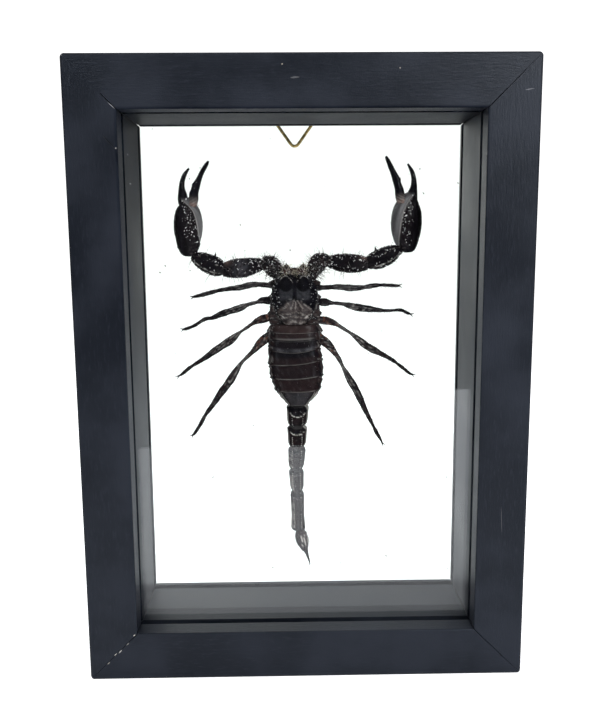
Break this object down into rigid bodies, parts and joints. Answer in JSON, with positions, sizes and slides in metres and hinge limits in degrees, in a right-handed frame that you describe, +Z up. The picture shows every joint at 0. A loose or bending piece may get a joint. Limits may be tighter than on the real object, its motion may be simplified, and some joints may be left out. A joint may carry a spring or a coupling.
{
  "type": "framed scorpion specimen",
  "caption": "Dried forest scorpion spread between two panes in a deep black wooden frame that stands on its bottom rail, with a swinging hanging ring behind.",
  "frame": {"origin": "centre of the frame's bottom face, midway between its front and back faces", "axes": "+Z up along the frame's height, -Y out of the glazed front that the scorpion's back faces, +X to the right as seen from the front"},
  "size_m": [0.16, 0.0476, 0.222],
  "materials": {
    "frame_paint": "satin black paint over open-grained wood",
    "pane": "clear polished float glass",
    "hanger_brass": "slightly dulled brass plate",
    "glue": "clear set adhesive",
    "shell_black": "glossy near-black chitin with granules",
    "shell_brown": "glossy dark maroon-brown chitin"
  },
  "bodies": {
    "frame": {"rail_top": "frame_paint", "rail_bottom": "frame_paint", "rail_left": "frame_paint", "rail_right": "frame_paint", "glass_front": "pane", "glass_back": "pane", "hanger_strap": "hanger_brass", "hanger_screw": "hanger_brass", "glue_pad": "glue", "scorpion_head_shield": "shell_black", "scorpion_abdomen": "shell_brown", "scorpion_tail": "shell_black", "scorpion_stinger": "shell_black", "scorpion_jaw_left": "shell_brown", "scorpion_jaw_right": "shell_brown", "pincer_arm_left": "shell_black", "pincer_arm_right": "shell_black", "pincer_hand_left": "shell_black", "pincer_hand_right": "shell_black", "pincer_finger_left": "shell_black", "pincer_finger_right": "shell_black", "leg_left_1": "shell_black", "leg_left_2": "shell_black", "leg_left_3": "shell_brown", "leg_left_4": "shell_brown", "leg_right_1": "shell_black", "leg_right_2": "shell_black", "leg_right_3": "shell_brown", "leg_right_4": "shell_brown"},
    "ring": {"hanger_ring": "hanger_brass"}
  },
  "joints": [
    {"name": "ring_swing", "type": "hinge", "parent": "frame", "child": "ring", "pos_m": [-0.0024, 0.02395, 0.2114], "axis": [1, 0, 0], "range_deg": [0, 175]}
  ]
}
